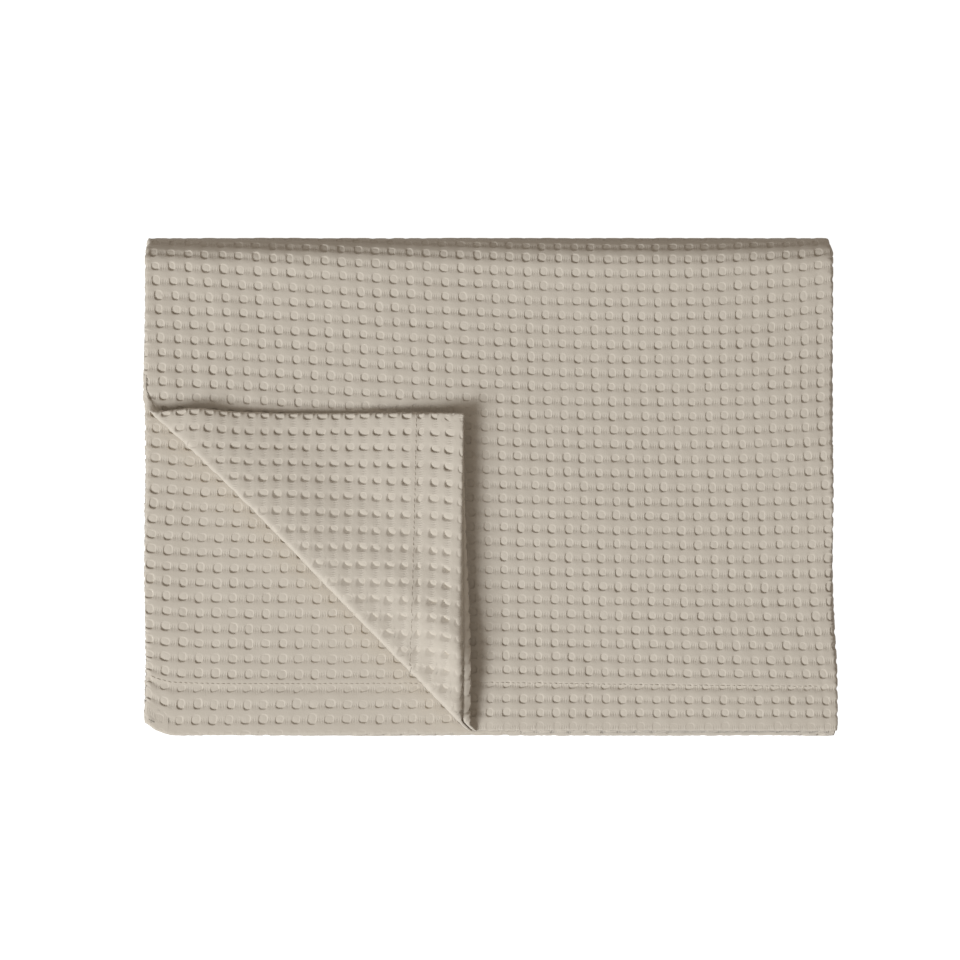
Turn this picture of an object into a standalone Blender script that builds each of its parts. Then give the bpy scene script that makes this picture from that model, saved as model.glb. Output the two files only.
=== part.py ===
# Waffle weave cotton blanket, about 1.8 x 1.3 m, folded in half twice each way.
# The front left corner of its two upper layers is turned back over the top.
# The cloth is one sheet: it is laid out flat, creased, folded and given its thickness.
# Metres, +Z up, +Y towards the rolled fold at the back.

import math
from collections import namedtuple

import bmesh
import bpy
from mathutils import Vector

# Driving dimensions
CLOTH = 0.0016  # thickness of the sheet
PITCH = 0.0024  # from one layer of the pile to the next
RUN_PITCH = 4 * PITCH  # a run is four layers folded together
LEFT_X = -0.2258  # outer side of the left fold
RIGHT_X = 0.2227  # outer side of the right fold
BACK_Y = 0.1623  # outer side of the rolled fold
FRONT_Y = -0.1623  # outer side of the fold at the front
HEM_Y = -0.1588  # hem of the top layer
SECOND_HEM_Y = -0.1606  # hems of the run below the top one
UNDER_INSET = 0.0022  # free side of a run's lowest layer, inside the left fold
THIRD_INSET = 0.0004  # and of its third layer
HALF_TURN = math.pi

# The corner's crease, as the turned edge shows from above: left end, then hem end
CREASE_LEFT = Vector((-0.2202, 0.0515))
CREASE_HEM = Vector((-0.0135, -0.1604))
CREASE_RADIUS_LEFT = 0.0022  # bend of the top layer at the left end
CREASE_RADIUS_HEM = 0.0048  # the same at the hem, where the bend is open
CREASE_SQUARENESS = 3.2  # 2 is a round bend; above it the corner lies flat nearly up to its edge
CREASE_STEPS = 7  # facets round the bend
CREASE_BEYOND = (0.008, 0.018, 0.030, 0.045, 0.062)  # lines across the turned corner past the bend
CREASE_MERGE = 0.0004  # points this near such a line are on it

# The turned corner
CORNER_LIFT = 0.0030  # height at which it lies over the top layer
CORNER_SINK_LENGTH = 0.060  # distance from the crease over which it comes down to that height
CORNER_SET_BACK = 0.0040  # how far its hem runs back at the left fold
SLIP_LENGTH = 0.19  # from the left fold, where the two turned layers can't slip
HEM_CURL = 0.0060  # its hem curls up
HEM_CURL_REACH = 0.060  # from this far behind the hem
HEM_CURL_GROWTH = 0.5  # and more so towards the crease
HEM_CURL_START = 0.03  # distance from the crease over which the curl sets in
BOW = 0.0038  # its back edge is pulled in
BOW_KEPT = 0.15  # share of that pull left at the far end of the edge
BOW_START = 0.06  # share of the edge over which it sets in
BOW_SHARES = (0.35, 0.95)  # shares of the edge between which it dies away
BOW_REACH = 0.055  # how far into the turned corner the edge's shape reaches
WAVE = 0.0017  # a soft wave that stands out of the back edge
WAVE_LIFT = 0.0022
WAVE_AT = 0.15  # share of the edge
WAVE_WIDTH = 0.075

# The settled pile
FLARE = 0.0029  # right side at the front, past the right side at the back
FLARE_Y = (-0.05, -0.14)  # where it sets in and where it is full
FLARE_X = (0.10, 0.21)
FLARE_LOW = 0.3  # share of it at the underside
FRONT_CORNER_SLOPE = 0.0060  # how far the front left corner is drawn back, evenly
FRONT_CORNER_SLOPE_REACH = 0.0170  # along this much of the front
FRONT_CORNER_ROUND = 0.0045  # and how far it is rounded on top of that
FRONT_CORNER_ROUND_REACH = 0.0090
FRONT_CORNER_FLAT = 0.0020  # the side's own fold, which keeps its shape
FRONT_CORNER_Y = (-0.10, -0.15)
ROLL_END_DRAW = 0.0026  # ends of the rolled fold, drawn in
ROLL_END_REACH = 0.0110
ROLL_END_X = (0.19, 0.22)
SIDE_WANDER = 0.0006  # slow wander of the sides
WANDER_LENGTH = 0.021
WANDER_PER_RUN = 2.2  # radians of it from one run to the next
WANDER_X = 0.21
SWELL = 0.0004  # slow rise and fall of the upper layers
SWELL_X = 0.043
SWELL_Y = 0.051
SWELL_SHIFT = 0.8
SWELL_SLANT = 0.029
SWELL_SLANT_SHARE = 0.6
SWELL_FROM = 0.8  # share of the pile's height

# Hems of one run's layers, behind the run's own hem line at its left and right side
Lead = namedtuple("Lead", "left right")
HEM_LEADS = {
    "under": Lead(-0.0030, 0.0),
    "outer fold": Lead(0.0, 0.0),
    "inner fold": Lead(-0.0010, -0.0010),
    "third": Lead(-0.0032, -0.0010),
}
TURNED_PARTS = ("top", "left fold", "second")

# Heights of the run centres: lowest run, the one above the front fold, and so on up
RUN_Z = [CLOTH / 2 + 1.5 * PITCH + i * RUN_PITCH for i in range(4)]
TOP_Z = RUN_Z[3] + 1.5 * PITCH  # middle of the top layer
OUTER_ROLL = 1.5 * RUN_PITCH
INNER_ROLL = 0.5 * RUN_PITCH
FOLD_RIGHT = RIGHT_X - 1.5 * PITCH - CLOTH / 2  # centre line of the right folds
FOLD_LEFT = LEFT_X + 0.5 * PITCH + CLOTH / 2
FOLD_BACK = BACK_Y - OUTER_ROLL - 1.5 * PITCH - CLOTH / 2
FOLD_FRONT = FRONT_Y + INNER_ROLL + 1.5 * PITCH + CLOTH / 2
PANEL = FOLD_RIGHT - FOLD_LEFT
UNDER_PANEL = FOLD_RIGHT - LEFT_X - UNDER_INSET
THIRD_PANEL = FOLD_RIGHT - LEFT_X - THIRD_INSET

# A straight part has cross lines at lengths along it. A fold turns half round, left or right.
Straight = namedtuple("Straight", "name length lines")
Fold = namedtuple("Fold", "name radius way steps")
LEFTWARDS, RIGHTWARDS = 1, -1

# Across the pile, seen from the front
ACROSS_START = Vector((LEFT_X + UNDER_INSET, -1.5 * PITCH))
ACROSS = (
    Straight("under", UNDER_PANEL, (0.004, 0.009, 0.017, 0.150, 0.300)),
    Fold("outer fold", 1.5 * PITCH, LEFTWARDS, 6),
    Straight("top", PANEL, (0.050, 0.140, 0.230, 0.310, 0.370, 0.405, 0.4255, 0.4330, 0.4371, 0.4401)),
    Fold("left fold", 0.5 * PITCH, LEFTWARDS, 4),
    Straight("second", PANEL, (0.002, 0.005, 0.009, 0.017, 0.037, 0.070, 0.120, 0.170, 0.240, 0.340)),
    Fold("inner fold", 0.5 * PITCH, RIGHTWARDS, 4),
    Straight("third", THIRD_PANEL, (0.100, 0.220, 0.320, 0.400, 0.4265, 0.4345, 0.4385, 0.4415)),
)

# From the top hem to the other hem, seen from the right
DOWN_START = Vector((HEM_Y, RUN_Z[3]))
DOWN = (
    Straight("top run", FOLD_BACK - HEM_Y, (0.012, 0.030, 0.060, 0.100, 0.140, 0.162, 0.179, 0.196, 0.230)),
    Fold("outer roll", OUTER_ROLL, RIGHTWARDS, 10),
    Straight("lowest run", FOLD_BACK - FOLD_FRONT, (0.080, 0.200, 0.250, 0.280)),
    Fold("front fold", INNER_ROLL, RIGHTWARDS, 6),
    Straight("second run", FOLD_BACK - FOLD_FRONT, (0.015, 0.050, 0.150)),
    Fold("inner roll", INNER_ROLL, LEFTWARDS, 6),
    Straight("third run", FOLD_BACK - SECOND_HEM_Y, (0.100, 0.200, 0.255, 0.285)),
)

Stretch = namedtuple("Stretch", "name start span point heading radius way")


class Track:
    """A line of straight parts and folds, read by the length along it."""

    def __init__(self, start, rows):
        self.stretches = []
        self.lines = [0.0]
        point, heading, length = start, 0.0, 0.0
        for row in rows:
            if isinstance(row, Fold):
                span = row.radius * HALF_TURN
                offsets = [span * step / row.steps for step in range(1, row.steps + 1)]
                stretch = Stretch(row.name, length, span, point, heading, row.radius, row.way)
            else:
                span = row.length
                offsets = [*row.lines, span]
                stretch = Stretch(row.name, length, span, point, heading, 0.0, 0)
            self.stretches.append(stretch)
            self.lines += [length + offset for offset in offsets]
            length += span
            point, heading = self.follow(stretch, span)

    def follow(self, stretch, run):
        """The point and the heading after a run within one stretch."""
        forward = Vector((math.cos(stretch.heading), math.sin(stretch.heading)))
        if not stretch.way:
            return stretch.point + forward * run, stretch.heading
        aside = Vector((-forward.y, forward.x)) * stretch.way
        angle = run / stretch.radius
        ahead = forward * stretch.radius * math.sin(angle)
        point = stretch.point + ahead + aside * stretch.radius * (1 - math.cos(angle))
        return point, stretch.heading + stretch.way * angle

    def named(self, name):
        return next(stretch for stretch in self.stretches if stretch.name == name)

    def at(self, length):
        """The stretch's name, the point and the heading at a length."""
        for stretch in self.stretches:
            if length <= stretch.start + stretch.span + 1e-9:
                break
        point, heading = self.follow(stretch, length - stretch.start)
        return stretch.name, point, heading


def clamp(value):
    return min(max(value, 0.0), 1.0)


def mix(a, b, share):
    return a + (b - a) * share


def ease(value):
    """0 up to 0, 1 from 1 on, and smooth between."""
    value = clamp(value)
    return value * value * (3 - 2 * value)


def between(value, start, full):
    """0 up to the start, 1 from the full value on, and smooth between."""
    return ease((value - start) / (full - start))


def bump(value, middle, width):
    return math.exp(-(((value - middle) / width) ** 2))


across = Track(ACROSS_START, ACROSS)
down = Track(DOWN_START, DOWN)
LEFT_FOLD_MIDDLE = across.named("left fold").start + across.named("left fold").span / 2

crease_length = (CREASE_HEM - CREASE_LEFT).length
crease_along = (CREASE_HEM - CREASE_LEFT).normalized()
crease_out = Vector((crease_along.y, -crease_along.x))  # towards the front left corner


def bend_radius(share):
    """The top layer's bend radius at a share of the crease."""
    return mix(CREASE_RADIUS_LEFT, CREASE_RADIUS_HEM, clamp(share))


def bend_axis(share):
    """The bend's centre line, measured out from the visible edge."""
    return -(bend_radius(share) + PITCH + CLOTH / 2)


def back_edge(x, y):
    """How far the turned corner's back edge is pulled in, and how far it lifts."""
    share = (CREASE_LEFT.y - y) / (CREASE_LEFT.y - HEM_Y)
    near = 1 - ease((x - FOLD_LEFT) / BOW_REACH)
    wave = bump(share, WAVE_AT, WAVE_WIDTH) * near ** 2
    pull = BOW * ease(share / BOW_START) * mix(1.0, BOW_KEPT, between(share, *BOW_SHARES))
    return pull * near - WAVE * wave, WAVE_LIFT * wave


def hem_curl(x, y, back):
    """How far the turned corner rises near its hem."""
    towards_crease = 1 + HEM_CURL_GROWTH * (x - FOLD_LEFT) / (CREASE_HEM.x - FOLD_LEFT)
    near_hem = ease(1 - (y - HEM_Y) / HEM_CURL_REACH)
    return HEM_CURL * towards_crease * near_hem * ease(back / HEM_CURL_START)


def turn_corner(x, y, z):
    """Carries a point of the two upper layers over the crease."""
    place = Vector((x, y)) - CREASE_LEFT
    along = place.dot(crease_along)
    out = place.dot(crease_out)
    share = along / crease_length
    axis = bend_axis(share)
    if out <= axis:
        return x, y, z
    top_radius = bend_radius(share)
    centre = TOP_Z + top_radius
    radius = centre - z
    slip = ease((x - FOLD_LEFT) / SLIP_LENGTH)
    used = mix(top_radius + PITCH, radius, slip)
    turned = (out - axis) / used
    angle = min(turned, HALF_TURN)
    back = (turned - angle) * used
    level, height = math.sin(angle), math.cos(angle)
    fullness = level ** CREASE_SQUARENESS + abs(height) ** CREASE_SQUARENESS
    reach = radius * fullness ** (-1 / CREASE_SQUARENESS)
    pull, lift = back_edge(x, y)
    over = ease(angle / HALF_TURN)
    sink = (2 * top_radius - CORNER_LIFT) * ease(back / CORNER_SINK_LENGTH)
    moved = CREASE_LEFT + crease_along * along + crease_out * (axis + reach * level - back)
    new_z = centre - reach * height - sink + hem_curl(x, y, back) + lift * over
    return moved.x, moved.y - pull * over, new_z


def hem_lead(part, x):
    """How far a layer's hem lies behind the pile's own hem line, at the hem itself."""
    across_share = (x - FOLD_LEFT) / PANEL
    if part not in TURNED_PARTS:
        return mix(*HEM_LEADS[part], across_share)
    lead = CORNER_SET_BACK * clamp((CREASE_HEM.x - x) / (CREASE_HEM.x - FOLD_LEFT))
    if part == "second":
        lead += HEM_LEADS["inner fold"].left * max(2 * across_share - 1, 0.0)
    return lead


def settle(x, y, z):
    """The slow unevenness of the pile that lies on a flat surface."""
    height = z / TOP_Z
    flare = FLARE * between(y, *FLARE_Y) * between(x, *FLARE_X) * ease(mix(FLARE_LOW, 1.0, height))
    wander = math.sin(y / WANDER_LENGTH + WANDER_PER_RUN * z / RUN_PITCH)
    wander *= SIDE_WANDER * ease(abs(x) / WANDER_X)
    at_back = between(y, BACK_Y - ROLL_END_REACH, BACK_Y)
    draw = math.copysign(ROLL_END_DRAW * at_back * between(abs(x), *ROLL_END_X), x)
    in_from_left = max(x - LEFT_X, FRONT_CORNER_FLAT)
    slope = FRONT_CORNER_SLOPE * clamp(1 - in_from_left / FRONT_CORNER_SLOPE_REACH)
    rounding = FRONT_CORNER_ROUND * clamp(1 - in_from_left / FRONT_CORNER_ROUND_REACH) ** 2
    near_front = between(y, *FRONT_CORNER_Y) if z < TOP_Z - 1.5 * PITCH else 0.0
    swell = math.sin(x / SWELL_X + SWELL_SHIFT) * math.cos(y / SWELL_Y)
    swell += SWELL_SLANT_SHARE * math.sin((x + y) / SWELL_SLANT)
    new_z = z + SWELL * swell * between(height, SWELL_FROM, 1.0)
    return x + flare + wander - draw, y + (slope + rounding) * near_front, new_z


def folded(u, v):
    """Where a point of the flat cloth lies in the folded blanket."""
    part, (x, level), _ = across.at(u)
    run, (y, z), heading = down.at(v)
    y -= math.sin(heading) * level
    z += math.cos(heading) * level
    top_run = down.named("top run")
    if run == top_run.name:
        y += hem_lead(part, x) * (1 - v / top_run.span)
        if part in TURNED_PARTS:
            x, y, z = turn_corner(x, y, z)
    return settle(x, y, z)


def flat_cloth():
    """The cloth laid out flat, its grid lines where folds start, turn and end."""
    bm = bmesh.new()
    grid = [[bm.verts.new((u, v, 0.0)) for v in down.lines] for u in across.lines]
    for left, right in zip(grid, grid[1:]):
        for i in range(len(down.lines) - 1):
            bm.faces.new((left[i], left[i + 1], right[i + 1], right[i]))
    return bm


def crease_line(side, bend_share, beyond):
    """Two flat points of a line along the crease, part way round the bend or beyond it."""
    points = []
    for share, corner in ((0.0, CREASE_LEFT), (1.0, CREASE_HEM)):
        slip = share if side == "top" else 0.0
        bend = HALF_TURN * (bend_radius(share) + PITCH * (1 - slip))
        place = corner + crease_out * (bend_axis(share) + bend_share * bend + beyond)
        along_side = FOLD_RIGHT - place.x if side == "top" else place.x - FOLD_LEFT
        points.append(Vector((across.named(side).start + along_side, place.y - HEM_Y, 0.0)))
    return points


def faces_beside(bm, side):
    """The faces of one side of the left fold, within the top run."""
    faces = []
    for face in bm.faces:
        centre = face.calc_center_median()
        on_side = (centre.x < LEFT_FOLD_MIDDLE) == (side == "top")
        if on_side and abs(centre.x - LEFT_FOLD_MIDDLE) < PANEL and centre.y < down.named("top run").span:
            faces.append(face)
    return faces


def crease(bm):
    """Cuts the faces of the turned corner along the lines where they bend."""
    lines = [(step / CREASE_STEPS, 0.0) for step in range(CREASE_STEPS + 1)]
    lines += [(1.0, beyond) for beyond in CREASE_BEYOND]
    for side in ("top", "second"):
        for bend_share, beyond in lines:
            first, last = crease_line(side, bend_share, beyond)
            normal = Vector((0.0, 0.0, 1.0)).cross(last - first).normalized()
            faces = faces_beside(bm, side)
            edges = {edge for face in faces for edge in face.edges}
            verts = {vert for face in faces for vert in face.verts}
            geometry = [*verts, *edges, *faces]
            bmesh.ops.bisect_plane(bm, geom=geometry, dist=CREASE_MERGE, plane_co=first, plane_no=normal)


def cotton():
    material = bpy.data.materials.new("waffle weave cotton")
    material.use_nodes = True
    shader = material.node_tree.nodes["Principled BSDF"]
    shader.inputs["Base Color"].default_value = (0.55, 0.49, 0.41, 1.0)
    shader.inputs["Roughness"].default_value = 0.9
    shader.inputs["Metallic"].default_value = 0.0
    return material


def blanket():
    bm = flat_cloth()
    crease(bm)
    for vert in bm.verts:
        vert.co = folded(vert.co.x, vert.co.y)
    bmesh.ops.triangulate(bm, faces=bm.faces, quad_method="SHORT_EDGE")
    mesh = bpy.data.meshes.new("blanket")
    bm.to_mesh(mesh)
    bm.free()
    mesh.shade_smooth()
    mesh.materials.append(cotton())
    thing = bpy.data.objects.new("blanket", mesh)
    bpy.context.collection.objects.link(thing)
    solid = thing.modifiers.new("cloth thickness", "SOLIDIFY")
    solid.thickness = CLOTH
    solid.offset = 0.0
    solid.use_even_offset = True
    solid.use_quality_normals = True


for old in list(bpy.data.objects):
    bpy.data.objects.remove(old, do_unlink=True)
blanket()
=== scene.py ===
import math
from collections import namedtuple

import bpy
import numpy as np
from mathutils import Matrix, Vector


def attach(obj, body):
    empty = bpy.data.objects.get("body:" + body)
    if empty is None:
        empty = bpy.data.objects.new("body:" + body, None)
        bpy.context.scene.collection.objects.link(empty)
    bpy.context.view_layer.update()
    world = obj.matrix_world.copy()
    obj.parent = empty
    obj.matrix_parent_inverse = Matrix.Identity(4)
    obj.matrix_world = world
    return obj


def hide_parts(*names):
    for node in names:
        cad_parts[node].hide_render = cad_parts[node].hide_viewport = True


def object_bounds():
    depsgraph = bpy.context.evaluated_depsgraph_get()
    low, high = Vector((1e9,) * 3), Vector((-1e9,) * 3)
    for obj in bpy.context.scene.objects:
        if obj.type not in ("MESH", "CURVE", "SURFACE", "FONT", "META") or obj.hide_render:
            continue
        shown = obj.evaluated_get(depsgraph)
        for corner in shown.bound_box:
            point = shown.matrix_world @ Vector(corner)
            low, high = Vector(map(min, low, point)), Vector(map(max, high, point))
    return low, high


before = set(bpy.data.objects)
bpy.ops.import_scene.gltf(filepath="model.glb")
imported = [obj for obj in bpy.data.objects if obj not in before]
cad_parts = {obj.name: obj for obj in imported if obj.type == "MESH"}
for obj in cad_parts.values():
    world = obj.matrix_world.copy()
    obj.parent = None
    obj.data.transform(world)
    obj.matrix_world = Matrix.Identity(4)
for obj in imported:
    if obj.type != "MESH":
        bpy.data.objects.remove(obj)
cadLow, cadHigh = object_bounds()
print("frame loaded")

# The pile as it lies, in metres: +X right, +Y to the rolled fold at the back, +Z up
pile = {
    "cloth": 0.0016,  # one layer
    "layerPitch": 0.0024,  # layer to layer
    "left": -0.2258,
    "right": 0.2227,
    "back": (cadHigh.y - cadLow.y) / 2,
    "hem": -0.1588,  # of the top run
    "secondHem": -0.1606,  # of the run under it
    "thirdInset": 0.0004,  # free side of the third layer, in from the left
    "fourthInset": 0.0022,
    "foldSquareness": 8.0,
    "floorGap": 0.0001,  # nothing lies nearer to the floor
}
tiny = 1e-9  # keeps a divisor from zero

# The corner that is turned back, as its edge shows from above
corner = {
    "left": Vector((-0.2202, 0.0515)),
    "hem": Vector((-0.0135, -0.1604)),
    "radiusLeft": 0.0022,
    "radiusHem": 0.0048,
    "lift": 0.0030,  # rests this high over the top layer
    "sinkLength": 0.060,
    "hemRise": 0.0060,  # its hem curls up
    "lowerRise": 0.90,  # share of it in the lower of the two layers
    "hemGap": 0.0022,  # the upper one stands off the lower
    "hemGapReach": 0.030,
    "hemRiseReach": 0.095,
    "hemRiseGrowth": 0.5,  # more so towards the crease
    "hemRiseLength": 0.03,  # full this far back from the bend
    "setBack": 0.0040,
    "slipLength": 0.19,
    "bendSquareness": 5.0,
    "bow": 0.0038,  # its back edge is pulled in
    "bowKept": 0.15,
    "bowFrom": 0.35,  # shares of its back edge, from the crease's left tip
    "bowSpan": 0.6,
    "tipBow": 0.0022,
    "tipReach": 0.06,
    "waveAt": 0.15,
    "waveWidth": 0.075,
    "bowReach": 0.055,
    "wave": 0.0017,
    "waveLift": 0.0022,
    "slope": 0.0060,  # front left corner under it, drawn back
    "slopeReach": 0.0170,
    "round": 0.0045,
    "roundReach": 0.0090,
    "flat": 0.0020,
}

# Soft troughs and ridges of the upper layers, listed one by one
Ridge = namedtuple("Ridge", "x y heading halfLength halfWidth height")
creaseTrough = Ridge(-0.1140, -0.0510, -45.7, 0.150, 0.010, -0.0018)  # the turned corner presses it in
ridges = (
    Ridge(0.140, -0.075, 20, 0.075, 0.028, -0.0010),
    Ridge(0.100, -0.135, 10, 0.060, 0.020, 0.0004),
    Ridge(0.170, 0.010, 70, 0.080, 0.030, 0.0004),
    Ridge(0.030, 0.030, 60, 0.070, 0.026, -0.0006),
    Ridge(-0.180, 0.128, -60, 0.035, 0.012, 0.0006),
    Ridge(-0.190, -0.048, 90, 0.080, 0.012, -0.0005),
    Ridge(-0.120, -0.110, 15, 0.050, 0.016, -0.0005),
    Ridge(-0.240, 0.020, 90, 0.250, 0.110, 0.0028),  # the folds at the left pile up
    Ridge(-0.236, 0.020, 90, 0.250, 0.030, 0.0014),
)


def mix(a, b, share):
    return a + (b - a) * share


def ease(value):  # 0 to 1, smooth at both ends
    value = np.clip(value, 0.0, 1.0)
    return value * value * (3 - 2 * value)


# A line of straight runs and round folds, read by the length along it
class FoldPath:
    def __init__(self, x, y, rows):
        self.names = [row[0] for row in rows]
        heading, length, table = 0.0, 0.0, []
        for name, size, halfTurns in rows:
            table.append((length, x, y, heading, size, halfTurns))
            length += size * math.pi if halfTurns else size
            if halfTurns:
                x -= 2 * size * math.sin(heading) * halfTurns
                y += 2 * size * math.cos(heading) * halfTurns
                heading += math.pi * halfTurns
            else:
                x += size * math.cos(heading)
                y += size * math.sin(heading)
        self.table = np.array(table)
        self.length = length

    def start(self, name):
        return self.table[self.names.index(name), 0]

    def end(self, name):
        after = self.names.index(name) + 1
        return self.table[after, 0] if after < len(self.names) else self.length

    def at(self, lengths):
        part = np.clip(np.searchsorted(self.table[:, 0], lengths, side="right") - 1, 0, None)
        start, x, y, heading, size, turn = self.table[part].T
        run = lengths - start
        angle = np.where(turn == 0, 0.0, run / size)
        forward = np.where(turn == 0, run, size * np.sin(angle))
        side = turn * size * (1 - np.cos(angle))
        x = x + forward * np.cos(heading) - side * np.sin(heading)
        y = y + forward * np.sin(heading) + side * np.cos(heading)
        return part, x, y, heading + turn * angle

    def onSurface(self, side):  # path lengths, and lengths over a surface beside the path
        size, turn = self.table[:, 4], self.table[:, 5]
        spans = np.diff(np.append(self.table[:, 0], self.length))
        stretch = np.where(turn == 0, 1.0, (size + side * turn) / size)
        along = np.concatenate([[0.0], np.cumsum(spans)])
        surface = np.concatenate([[0.0], np.cumsum(spans * stretch)])
        past = 1.0  # metres past both ends, laid straight on
        return np.array([-past, *along, along[-1] + past]), np.array([-past, *surface, surface[-1] + past])


half = pile["cloth"] / 2
layerPitch = pile["layerPitch"]
runPitch = 4 * layerPitch
runHeights = [half + 1.5 * layerPitch + i * runPitch for i in range(4)]
topHeight = runHeights[3] + 1.5 * layerPitch
foldRight = pile["right"] - 1.5 * layerPitch - half
foldLeft = pile["left"] + 0.5 * layerPitch + half
foldBack = pile["back"] - 1.5 * runPitch - 1.5 * layerPitch - half
foldFront = -pile["back"] + 0.5 * runPitch + 1.5 * layerPitch + half
freeLeft = {"third": pile["left"] + pile["thirdInset"], "fourth": pile["left"] + pile["fourthInset"]}
panel = foldRight - foldLeft

# Across the pile, seen from the front, and from the top hem down the length, seen from the right
across = FoldPath(freeLeft["fourth"], -1.5 * layerPitch, (
    ("fourth", foldRight - freeLeft["fourth"], 0),
    ("outer fold", 1.5 * layerPitch, 1),
    ("first", panel, 0),
    ("left fold", 0.5 * layerPitch, 1),
    ("second", panel, 0),
    ("inner fold", 0.5 * layerPitch, -1),
    ("third", foldRight - freeLeft["third"], 0),
))
down = FoldPath(pile["hem"], runHeights[3], (
    ("top run", foldBack - pile["hem"], 0),
    ("outer roll", 1.5 * runPitch, -1),
    ("lowest run", foldBack - foldFront, 0),
    ("front fold", 0.5 * runPitch, -1),
    ("second run", foldBack - foldFront, 0),
    ("inner roll", 0.5 * runPitch, 1),
    ("third run", foldBack - pile["secondHem"], 0),
))

creaseLength = (corner["hem"] - corner["left"]).length
creaseAlong = (corner["hem"] - corner["left"]).normalized()
creaseOut = Vector((creaseAlong.y, -creaseAlong.x))


def fromCrease(x, y):  # along the crease, and out of it towards the front left corner
    dx, dy = x - corner["left"].x, y - corner["left"].y
    return dx * creaseAlong.x + dy * creaseAlong.y, dx * creaseOut.x + dy * creaseOut.y


def bendRadius(along):
    return mix(corner["radiusLeft"], corner["radiusHem"], np.clip(along / creaseLength, 0.0, 1.0))


def bendAxis(along):
    return -(bendRadius(along) + layerPitch + half)


def bendEnd(along):  # where the cloth has gone half a turn round
    return bendAxis(along) + math.pi * (bendRadius(along) + layerPitch)


def backEdge(x, y):  # the turned corner's back edge: how far it is pulled in, and how far it lifts
    share = (corner["left"].y - y) / (corner["left"].y - pile["hem"])
    near = 1 - ease((x - foldLeft) / corner["bowReach"])
    wave = np.exp(-((share - corner["waveAt"]) / corner["waveWidth"]) ** 2) * near ** 2
    bowed = mix(1.0, corner["bowKept"], ease((share - corner["bowFrom"]) / corner["bowSpan"]))
    pull = corner["bow"] * bowed + corner["tipBow"] * np.exp(-share / corner["tipReach"])
    return pull * near - corner["wave"] * wave, corner["waveLift"] * wave


def turnCorner(x, y, z):  # carries the two upper layers over the crease
    along, out = fromCrease(x, y)
    topRadius, axis = bendRadius(along), bendAxis(along)
    centre = topHeight + topRadius
    radius = centre - z
    slip = ease((x - foldLeft) / corner["slipLength"])
    used = mix(topRadius + layerPitch, radius, slip)
    angle = (out - axis) / used
    bent = angle <= math.pi
    back = np.where(bent, 0.0, (angle - math.pi) * used)
    angle = np.clip(angle, 0.0, math.pi)
    sink = (2 * topRadius - corner["lift"]) * ease(back / corner["sinkLength"])
    towardsCrease = 1 + corner["hemRiseGrowth"] * (x - foldLeft) / (corner["hem"].x - foldLeft)
    nearHem = ease(1 - (y - pile["hem"]) / corner["hemRiseReach"])
    upper = np.clip((topHeight - z) / layerPitch, 0.0, 1.0)  # 1 in the layer that comes to lie on top
    curl = corner["hemRise"] * mix(corner["lowerRise"], 1.0, upper) * towardsCrease * nearHem
    gap = corner["hemGap"] * upper * ease(1 - (y - pile["hem"]) / corner["hemGapReach"])
    pull, lift = backEdge(x, y)
    over = ease(angle / math.pi)
    rise = curl * ease(back / corner["hemRiseLength"]) + gap * over
    power = corner["bendSquareness"]
    square = (np.sin(angle) ** power + np.abs(np.cos(angle)) ** power) ** (-1 / power)
    newOut = axis + radius * np.sin(angle) * square - back
    newZ = centre - radius * np.cos(angle) * square - sink + rise + lift * over
    newX = corner["left"].x + creaseAlong.x * along + creaseOut.x * newOut
    newY = corner["left"].y + creaseAlong.y * along + creaseOut.y * newOut - pull * over
    moved = out > axis
    return np.where(moved, newX, x), np.where(moved, newY, y), np.where(moved, newZ, z)


# How far the lower layers' hems stand out in front, at their ends
hemAhead = {
    "secondRight": 0.0010,
    "thirdLeft": 0.0032,
    "thirdRight": 0.0010,
    "fourthLeft": 0.0030,
}


def hemLead(part, x):  # how far a layer's hem lies behind the pile's own hem line
    share = (x - foldLeft) / panel
    turned = corner["setBack"] * np.clip((corner["hem"].x - x) / (corner["hem"].x - foldLeft), 0.0, 1.0)
    leads = {
        "first": turned,
        "left fold": turned,
        "second": turned - hemAhead["secondRight"] * np.clip(2 * share - 1, 0.0, None),
        "inner fold": -hemAhead["secondRight"],
        "third": -mix(hemAhead["thirdLeft"], hemAhead["thirdRight"], share),
        "fourth": -mix(hemAhead["fourthLeft"], 0.0, share),
    }
    lead = 0 * x
    for name, value in leads.items():
        lead = np.where(part == across.names.index(name), value, lead)
    return lead


turnedParts = [across.names.index(name) for name in ("first", "left fold", "second")]


def squareFold(part, x, level):  # the side folds lie flat nearly up to their edge
    atLeft = (x < foldLeft) & np.isin(part, turnedParts)
    side = np.where(atLeft, -1.0, 1.0)
    edge = np.where(atLeft, foldLeft, foldRight)
    middle = np.where(atLeft, layerPitch, 0.0)
    past, high = side * (x - edge), level - middle
    reach = np.maximum(np.hypot(past, high), tiny)
    power = pile["foldSquareness"]
    fullness = np.maximum((np.abs(past) / reach) ** power + (np.abs(high) / reach) ** power, tiny)
    grown = np.where(past > 0, fullness ** (-1 / power), 1.0)
    return edge + side * past * grown, middle + high * grown


def ridgeLift(ridge, x, y):
    turn = math.radians(ridge.heading)
    along = (x - ridge.x) * math.cos(turn) + (y - ridge.y) * math.sin(turn)
    aside = (y - ridge.y) * math.cos(turn) - (x - ridge.x) * math.sin(turn)
    return ridge.height * np.exp(-(along / ridge.halfLength) ** 2 - (aside / ridge.halfWidth) ** 2)


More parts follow.
